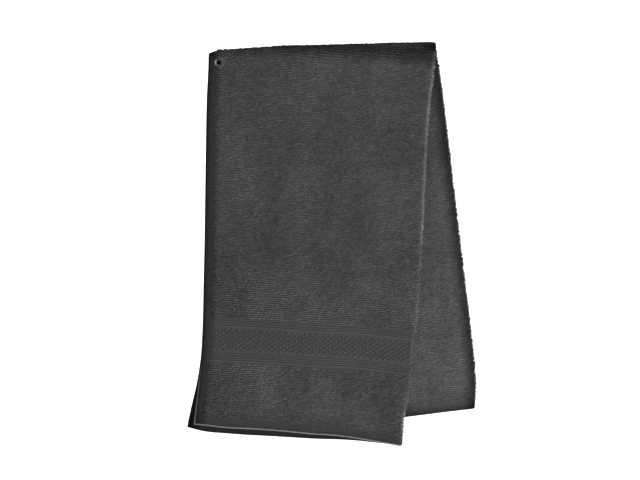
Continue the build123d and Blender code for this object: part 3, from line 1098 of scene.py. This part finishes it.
for halfName, half in halves.items():
    ground = frontCloth if halfName == "front" else backCloth
    bending = [ground, sideHems[halfName, "outer"], sideHems[halfName, "inner"], stitching[halfName]]
    for piece in bending:
        bendWith(piece, half)
    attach(endHems[halfName], half["fall"])
    own = [p for p, name in pileBending if name == halfName]
    for piece in own:
        bendWith(piece, half)
    hanging = [p for p, name in pileHanging if name == halfName]
    for piece in hanging:
        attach(piece, half["fall"])
    onCloth = own + hanging + [endHems[halfName], stitching[halfName]]
    onCloth += [sideHems[halfName, layer] for layer in ("outer", "inner")]
    if halfName == "front":
        for piece in (borderCords, borderDiamonds):
            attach(piece, half["fall"])
            onCloth.append(piece)
    for layer in ("outer", "inner"):
        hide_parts(f"{halfName}_{layer}_side_hem")
    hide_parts(f"{halfName}_outer_end_hem", f"{halfName}_inner_end_hem")
    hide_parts(f"{halfName}_outer_stitching", f"{halfName}_inner_stitching")
    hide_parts(f"{halfName}_outer_ply", f"{halfName}_inner_ply", f"{halfName}_side_fold")
    shareOfCloth = fallLength(half) / sum(fallLength(other) for other in halves.values())
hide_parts("bend_outer_ply", "bend_inner_ply", "bend_side_fold", "front_outer_tail",
            "front_inner_tail")
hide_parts("bend_outer_side_hem")
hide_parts("bend_inner_side_hem")
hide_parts("front_outer_border", "front_inner_border")
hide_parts("front_outer_border_ribs", "front_inner_border_ribs")
for piece, node, slotName in ((eyeletShell, "eyelet", "eyelet_shell"),
                              (eyeletWasher, "eyelet_washer", "eyelet_washer")):
    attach(piece, "bend")
    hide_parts(node)

# ---- studio ----
studio = {
    "floorZ": -0.7,
    "floorFrom": -1.6,     # y of the paper's near edge
    "wallY": 3.6,          # far enough back for a camera to look from behind with a fall lifted
    "wallTop": 0.9,
    "wallHalfWidth": 1.8,
    "sweep": 0.6,
    "paper": "#f7f7f6",
    "paperGlow": 0.95,     # the backdrop is lit through from behind
    "skyBelow": 0.9,       # brightness of the surroundings below eye level
    "skyAbove": 0.5,       # and above it, so that the bend over the rail falls off into shade
    "skyTurn": (-0.15, 0.35),  # upwards part of the direction, from the one to the other
    "key": {"where": (1.3, -1.2, -0.45), "size": 0.8, "watts": 27},
    "fill": {"where": (0.1, -2.4, -0.3), "size": 0.9, "watts": 5},
    "behind": {"where": (0.2, 1.3, -0.05), "size": 0.9, "watts": 13},
    "distance": 1.6,
    "elevation": 5.0,
    "roll": 1.5,           # degrees, the rail's line rising to the right
    "aim": (-0.0066, 0.0, -0.1686),
    "lens": 96.2,          # mm, for the sensor's width
    "sensor": 36.0,
}


def makeBackdrop():
    sweep, wall = studio["sweep"], studio["wallY"]
    turn = [(wall - sweep + sweep * math.sin(k), studio["floorZ"] + sweep - sweep * math.cos(k))
            for k in np.linspace(0, math.pi / 2, 17)]
    profile = [(studio["floorFrom"], studio["floorZ"])] + turn + [(wall, studio["wallTop"])]
    halfWidth = studio["wallHalfWidth"]
    points = [(x, y, z) for x in (-halfWidth, halfWidth) for y, z in profile]
    piece = meshObject("backdrop", np.array(points) / mm, gridFaces(2, len(profile)))
    material, add, place = startMaterial("mattPaper")
    grain = add("ShaderNodeTexNoise", {"Scale": 40.0, "Detail": 2.0, "Vector": place})
    rough = add("ShaderNodeMapRange", {"To Min": 0.9, "To Max": 1.0, "Value": grain})
    shader = add("ShaderNodeBsdfPrincipled", {
        "Base Color": hexColour(studio["paper"]), "Emission Color": hexColour(studio["paper"]),
        "Emission Strength": studio["paperGlow"], "Roughness": rough})
    add("ShaderNodeOutputMaterial", {"Surface": shader})
    piece.data.materials.append(material)


def makeLight(name, aim):
    facts = studio[name]
    lamp = bpy.data.lights.new(name, "AREA")
    lamp.shape = "DISK"
    lamp.size = facts["size"]
    lamp.energy = facts["watts"]
    light = bpy.data.objects.new(name, lamp)
    light.location = facts["where"]
    light.rotation_euler = (Vector(aim) - Vector(facts["where"])).to_track_quat("-Z", "Y").to_euler()
    light.visible_camera = False
    bpy.context.scene.collection.objects.link(light)


def makeSky():
    # bright below eye level and dim above, so that the light is mostly from the front
    world = bpy.data.worlds.new("softSky")
    world.use_nodes = True
    world.node_tree.nodes.clear()
    add = nodeAdder(world.node_tree)
    towards = add("ShaderNodeTexCoord").outputs["Generated"]
    height = add("ShaderNodeSeparateXYZ", {"Vector": towards}).outputs["Z"]
    strength = add("ShaderNodeMapRange", {
        "From Min": studio["skyTurn"][0], "From Max": studio["skyTurn"][1],
        "To Min": studio["skyBelow"], "To Max": studio["skyAbove"], "Value": height})
    sky = add("ShaderNodeBackground", {"Color": (1, 1, 1, 1), "Strength": strength})
    add("ShaderNodeOutputWorld", {"Surface": sky})
    bpy.context.scene.world = world


def makeCamera():
    tilt, roll = math.radians(studio["elevation"]), math.radians(studio["roll"])
    forward = Vector((0, math.cos(tilt), -math.sin(tilt)))
    right = Vector((1, 0, 0))
    up = right.cross(forward)
    rolledRight = right * math.cos(roll) - up * math.sin(roll)
    rolledUp = right * math.sin(roll) + up * math.cos(roll)
    camera = bpy.data.objects.new("camera", bpy.data.cameras.new("camera"))
    camera.data.lens = studio["lens"]
    camera.data.sensor_width = studio["sensor"]
    turn = Matrix((rolledRight, rolledUp, -forward)).transposed().to_4x4()
    turn.translation = Vector(studio["aim"]) - forward * studio["distance"]
    camera.matrix_world = turn
    bpy.context.scene.collection.objects.link(camera)
    bpy.context.scene.camera = camera


makeBackdrop()
for lightName in ("key", "fill", "behind"):
    makeLight(lightName, studio["aim"])
makeSky()
bpy.context.scene.view_settings.view_transform = "Standard"
makeCamera()
print("studio made")
